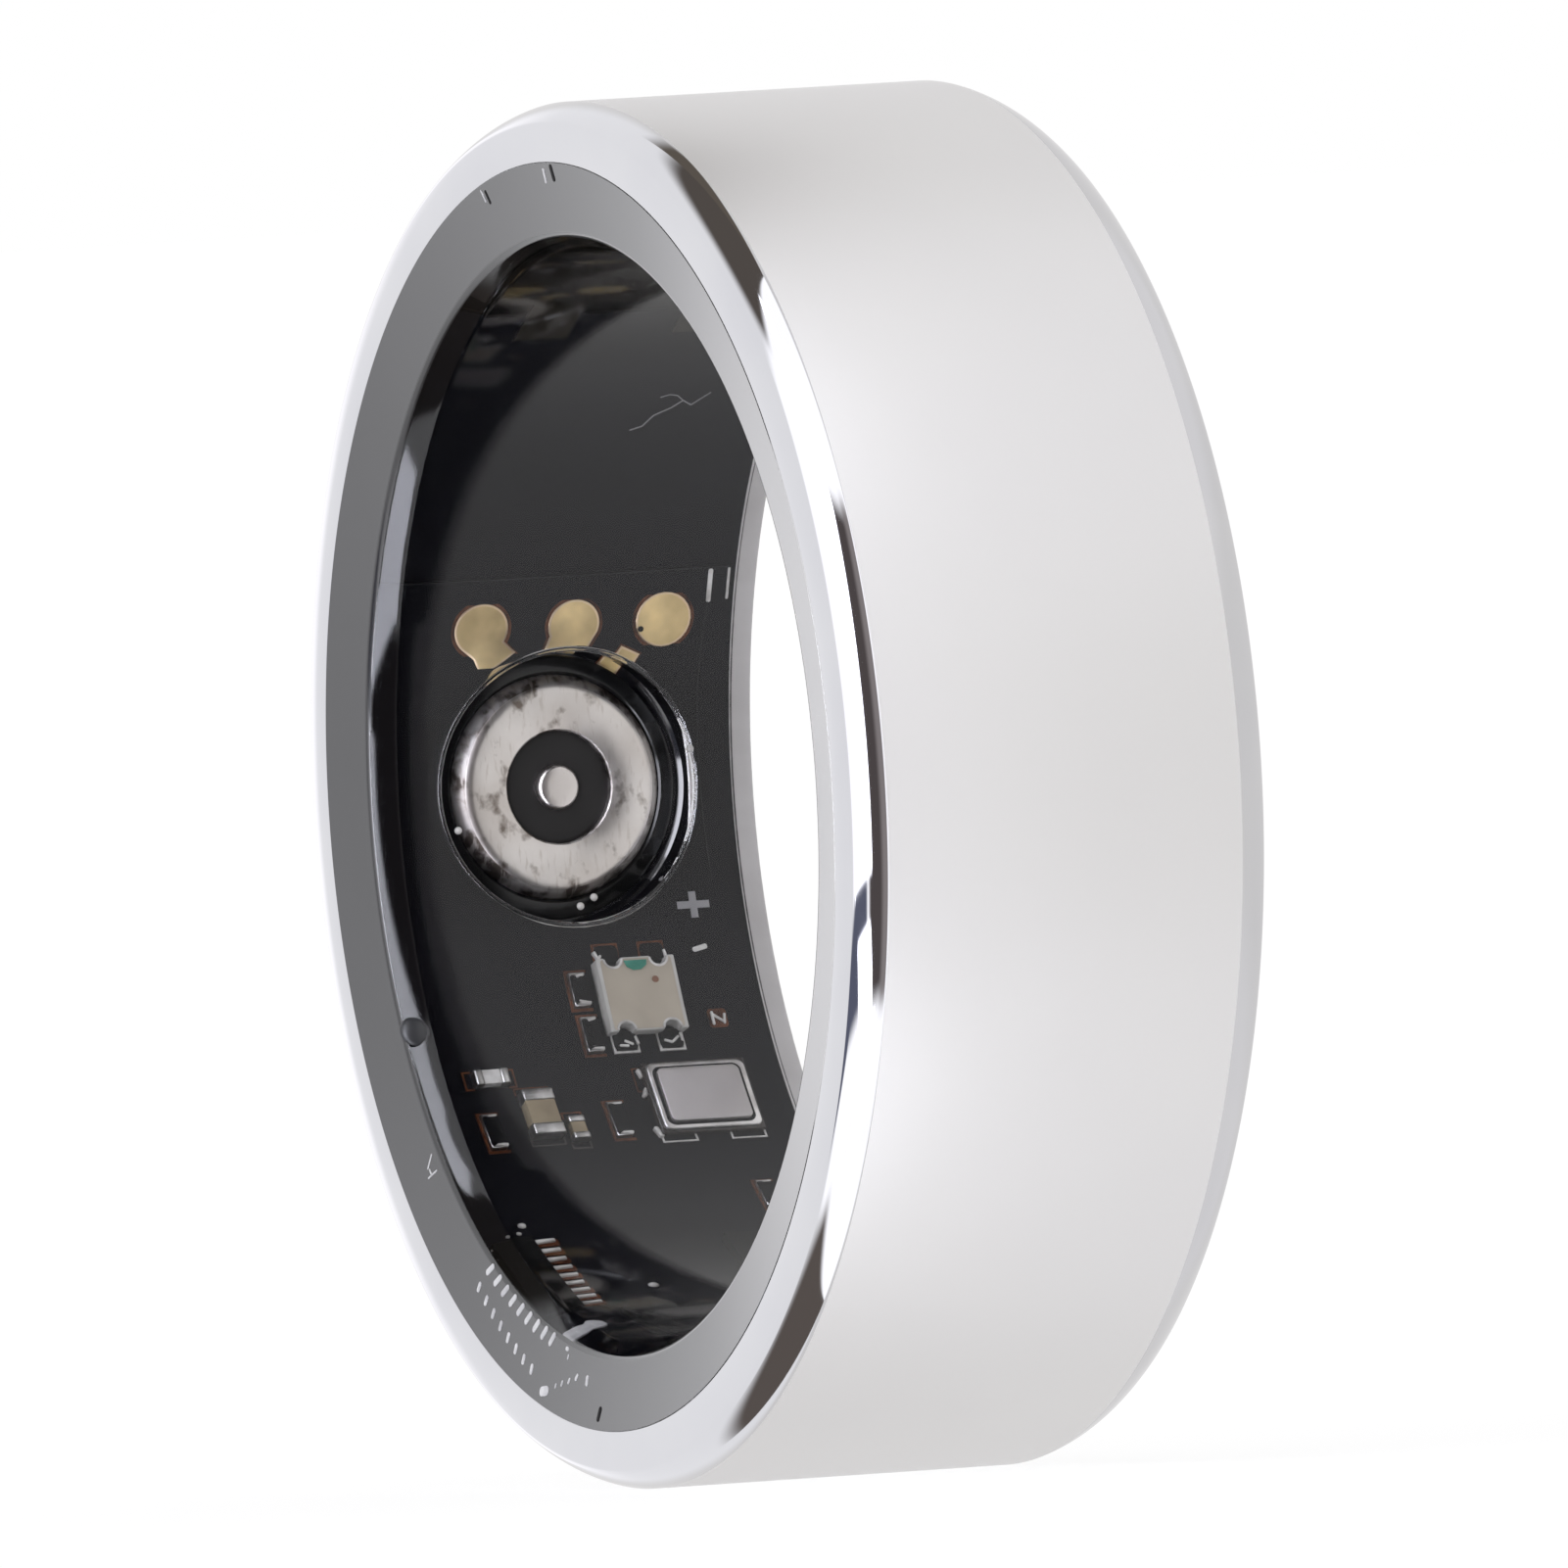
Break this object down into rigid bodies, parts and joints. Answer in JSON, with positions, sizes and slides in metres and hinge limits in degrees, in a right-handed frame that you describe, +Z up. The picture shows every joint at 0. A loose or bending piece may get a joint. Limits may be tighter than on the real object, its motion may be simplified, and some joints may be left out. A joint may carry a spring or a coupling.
{
  "type": "smart ring",
  "caption": "Smart ring: a satin metal band with polished bevelled ends, lined with clear resin over a bent black circuit board, with a round charging contact in the bore.",
  "frame": {"origin": "centre of the finger bore, halfway along the ring's width", "axes": "+Y along the bore's axis, away from the end that the picture shows; +Z up with the ring on its rim; the charging contact is at -X and faces +X"},
  "size_m": [0.0244, 0.0078, 0.0244],
  "materials": {
    "satin_metal": "satin outside, polished bevels and rims",
    "clear_resin": "clear cast resin, glossy",
    "black_flex": "matte black cover film",
    "black_board": "matte black solder mask",
    "adhesive_tape": "pale adhesive film",
    "cell_foil": "aluminium pouch foil",
    "dark_tape": "dark brown polyimide tape",
    "nickel": "nickel strip",
    "contact_metal": "plated metal, finely worn",
    "contact_insulator": "black moulded insulator",
    "contact_pin": "plated pin",
    "contact_collar": "glossy black seal",
    "magnet": "plated magnet",
    "gold": "gold-plated copper",
    "trace": "bright plated trace",
    "led_package": "cream ceramic",
    "led_window": "cloudy silicone",
    "led_dies": "green dies",
    "crystal_ceramic": "dark ceramic",
    "crystal_metal": "seam-welded metal lid",
    "chip_black": "moulded chip",
    "solder": "bright solder",
    "lead_gold": "gold-plated leads",
    "receiver_window": "clear window over silicon",
    "antenna_ceramic": "pale ceramic",
    "capacitor_brown": "brown ceramic",
    "part_caps": "tinned end caps",
    "capacitor_dark": "dark ceramic",
    "resistor_black": "black glass"
  },
  "bodies": {
    "root": {"outer_shell": "satin_metal", "clear_liner": "clear_resin", "flex_board": "black_flex", "rigid_board": "black_board", "board_tape": "adhesive_tape", "battery_cell": "cell_foil", "battery_tape": "dark_tape", "battery_tabs": "nickel", "port_cup": "contact_metal", "port_insulator": "contact_insulator", "port_pin": "contact_pin", "port_collar": "contact_collar", "port_magnet": "magnet", "gold_lands": "gold", "antenna_trace": "trace", "led_body": "led_package", "led_window": "led_window", "led_dies": "led_dies", "crystal_base": "crystal_ceramic", "crystal_lid": "crystal_metal", "processor": "chip_black", "processor_lands": "solder", "sensor_chip": "chip_black", "sensor_chip_leads": "lead_gold", "motion_sensor": "chip_black", "receiver_body": "chip_black", "receiver_window": "receiver_window", "red_led": "led_package", "charging_chip": "chip_black", "protection_chip": "chip_black", "heat_sensor": "chip_black", "chip_antenna": "antenna_ceramic", "brown_capacitor": "capacitor_brown", "brown_capacitor_caps": "part_caps", "small_capacitors": "capacitor_dark", "small_capacitor_caps": "part_caps", "resistors": "resistor_black", "resistor_caps": "part_caps", "solder_lands": "solder"}
  },
  "joints": []
}
